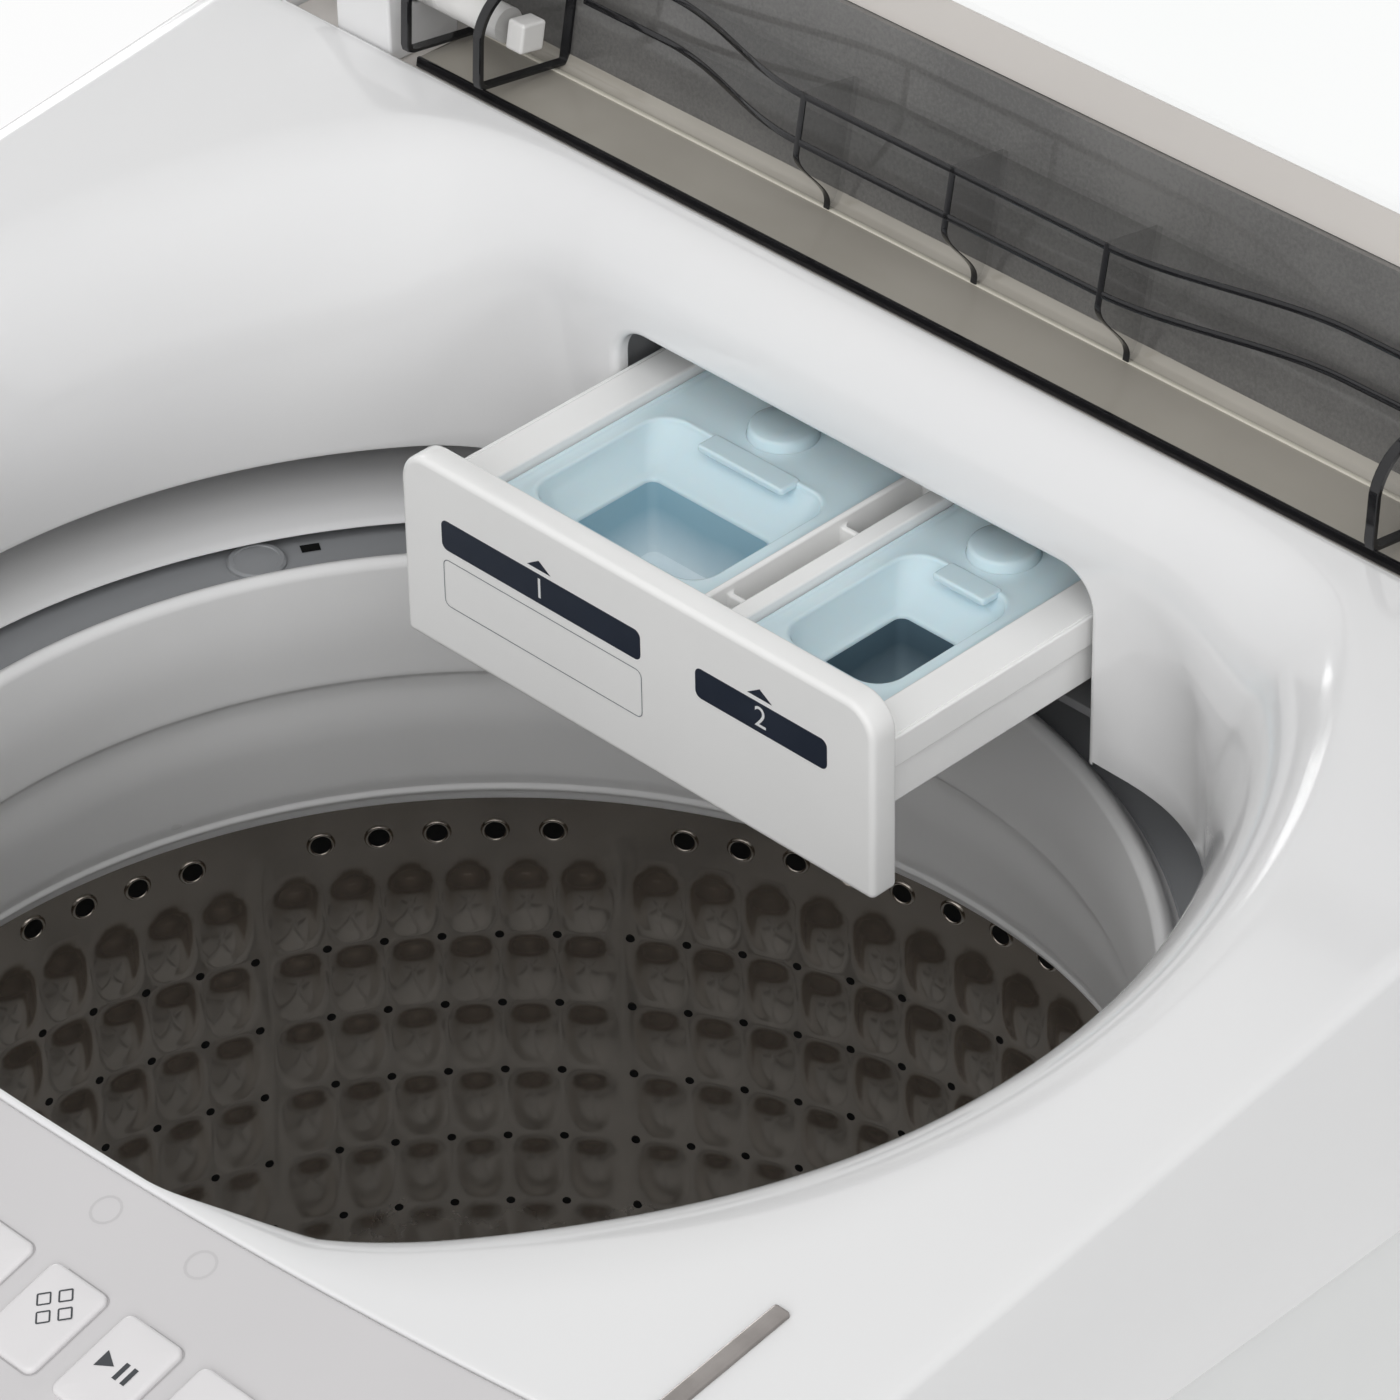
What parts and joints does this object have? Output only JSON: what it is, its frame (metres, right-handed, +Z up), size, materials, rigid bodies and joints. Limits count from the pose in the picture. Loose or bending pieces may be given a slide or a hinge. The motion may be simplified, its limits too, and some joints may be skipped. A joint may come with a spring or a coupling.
{
  "type": "top load washing machine",
  "caption": "Top-loading automatic washing machine with open glass lid, pulled-out detergent drawer, spinning stainless basket, pulsator, belt drive and sprung tub.",
  "frame": {"origin": "on the floor under the basket's axis, at the middle of the bounding box", "axes": "+X to the machine's right seen from the front, +Y to the rear, +Z up along the basket's axis"},
  "size_m": [0.54, 0.564, 1.3432],
  "materials": {
    "cabinet_white": "smooth gloss paint",
    "zinc_sheet": "galvanised grey",
    "gloss_white": "high gloss moulding",
    "panel_grey": "fine matte",
    "deck_beige": "fine matte",
    "base_grey": "fine matte",
    "smoke": "smoked, frosted inner face",
    "clear_glass": "polished",
    "border_beige": "printed",
    "window": "tinted, polished",
    "key_grey": "satin",
    "bright_trim": "polished",
    "board_green": "lacquered",
    "insert_blue": "translucent",
    "rubber_black": "matte",
    "hose_grey": "matte",
    "tub_grey": "moulded",
    "ring_grey": "satin moulding",
    "stainless": "polished and pressed",
    "steel": "turned",
    "alloy": "die cast",
    "motor_grey": "satin paint",
    "spring_steel": "oiled",
    "valve_white": "moulded"
  },
  "bodies": {
    "cabinet_body": {"cabinet": "cabinet_white", "rear_panel": "zinc_sheet", "base_frame": "base_grey", "foot_front_left": "rubber_black", "foot_front_right": "rubber_black", "foot_rear_left": "rubber_black", "foot_rear_right": "rubber_black", "top_cover": "gloss_white", "rear_deck": "deck_beige", "control_panel": "panel_grey", "display_window": "window", "control_board": "board_green", "trim_bar": "bright_trim", "drawer_housing": "valve_white", "inlet_valve": "valve_white", "inlet_hose": "hose_grey", "drain_outlet": "base_grey", "hinge_post_left": "gloss_white", "hinge_post_right": "gloss_white", "rod_front_left": "spring_steel", "rod_front_right": "spring_steel", "rod_rear_left": "spring_steel", "rod_rear_right": "spring_steel", "spring_front_left": "spring_steel", "spring_front_right": "spring_steel", "spring_rear_left": "spring_steel", "spring_rear_right": "spring_steel"},
    "tub_body": {"outer_tub": "tub_grey", "tub_cover": "tub_grey", "gearcase": "alloy", "motor": "motor_grey", "drive_belt": "rubber_black", "drain_valve": "valve_white", "drain_hose": "hose_grey"},
    "drum_body": {"drum_shell": "stainless", "balance_ring": "ring_grey", "drum_base": "tub_grey", "spin_shaft": "steel"},
    "pulsator_body": {"pulsator": "ring_grey", "pulsator_cap": "ring_grey", "wash_shaft": "steel", "drive_pulley": "alloy"},
    "rotor_body": {"motor_pulley": "steel"},
    "drawer_body": {"drawer_tray": "gloss_white", "drawer_front": "gloss_white", "powder_insert": "insert_blue", "softener_insert": "insert_blue"},
    "lid_body": {"lid_frame": "smoke", "lid_glass": "clear_glass", "glass_border": "border_beige", "hinge_shaft_left": "gloss_white", "hinge_shaft_right": "gloss_white"},
    "key_1_body": {"key_1": "key_grey"},
    "key_2_body": {"key_2": "key_grey"},
    "key_3_body": {"key_3": "key_grey"},
    "key_4_body": {"key_4": "key_grey"},
    "key_5_body": {"key_5": "key_grey"},
    "key_6_body": {"key_6": "key_grey"},
    "key_7_body": {"key_7": "key_grey"}
  },
  "joints": [
    {"name": "tub_bounce", "type": "slide", "parent": "cabinet_body", "child": "tub_body", "axis": [0, 0, 1], "range_m": [-0.012, 0.008], "stiffness_N_per_m": 30000, "springref_m": 0.011, "deforming": ["spring_front_left", "spring_front_right", "spring_rear_left", "spring_rear_right"]},
    {"name": "basket_spin", "type": "hinge", "parent": "tub_body", "child": "drum_body", "pos_m": [0, 0, 0.5], "axis": [0, 0, 1], "continuous": true},
    {"name": "pulsator_spin", "type": "hinge", "parent": "tub_body", "child": "pulsator_body", "pos_m": [0, 0, 0.4], "axis": [0, 0, 1], "continuous": true},
    {"name": "motor_spin", "type": "hinge", "parent": "tub_body", "child": "rotor_body", "pos_m": [0, -0.16, 0.256], "axis": [0, 0, 1], "continuous": true},
    {"name": "drawer_slide", "type": "slide", "parent": "cabinet_body", "child": "drawer_body", "axis": [0, 1, 0], "range_m": [0, 0.08]},
    {"name": "lid_hinge", "type": "hinge", "parent": "cabinet_body", "child": "lid_body", "pos_m": [0, 0.18396, 0.98998], "axis": [1, 0, 0], "range_deg": [0, 113]},
    {"name": "key_1_press", "type": "slide", "parent": "cabinet_body", "child": "key_1_body", "axis": [0, 0.2756, -0.9613], "range_m": [0, 0.0014], "stiffness_N_per_m": 800, "springref_m": -0.001},
    {"name": "key_2_press", "type": "slide", "parent": "cabinet_body", "child": "key_2_body", "axis": [0, 0.2756, -0.9613], "range_m": [0, 0.0014], "stiffness_N_per_m": 800, "springref_m": -0.001},
    {"name": "key_3_press", "type": "slide", "parent": "cabinet_body", "child": "key_3_body", "axis": [0, 0.2756, -0.9613], "range_m": [0, 0.0014], "stiffness_N_per_m": 800, "springref_m": -0.001},
    {"name": "key_4_press", "type": "slide", "parent": "cabinet_body", "child": "key_4_body", "axis": [0, 0.2756, -0.9613], "range_m": [0, 0.0014], "stiffness_N_per_m": 800, "springref_m": -0.001},
    {"name": "key_5_press", "type": "slide", "parent": "cabinet_body", "child": "key_5_body", "axis": [0, 0.2756, -0.9613], "range_m": [0, 0.0014], "stiffness_N_per_m": 800, "springref_m": -0.001},
    {"name": "key_6_press", "type": "slide", "parent": "cabinet_body", "child": "key_6_body", "axis": [0, 0.2756, -0.9613], "range_m": [0, 0.0014], "stiffness_N_per_m": 800, "springref_m": -0.001},
    {"name": "key_7_press", "type": "slide", "parent": "cabinet_body", "child": "key_7_body", "axis": [0, 0.2756, -0.9613], "range_m": [0, 0.0014], "stiffness_N_per_m": 800, "springref_m": -0.001}
  ],
  "couplings": [
    {"joint": "motor_spin", "follows": "pulsator_spin", "ratio": 2.9455}
  ]
}
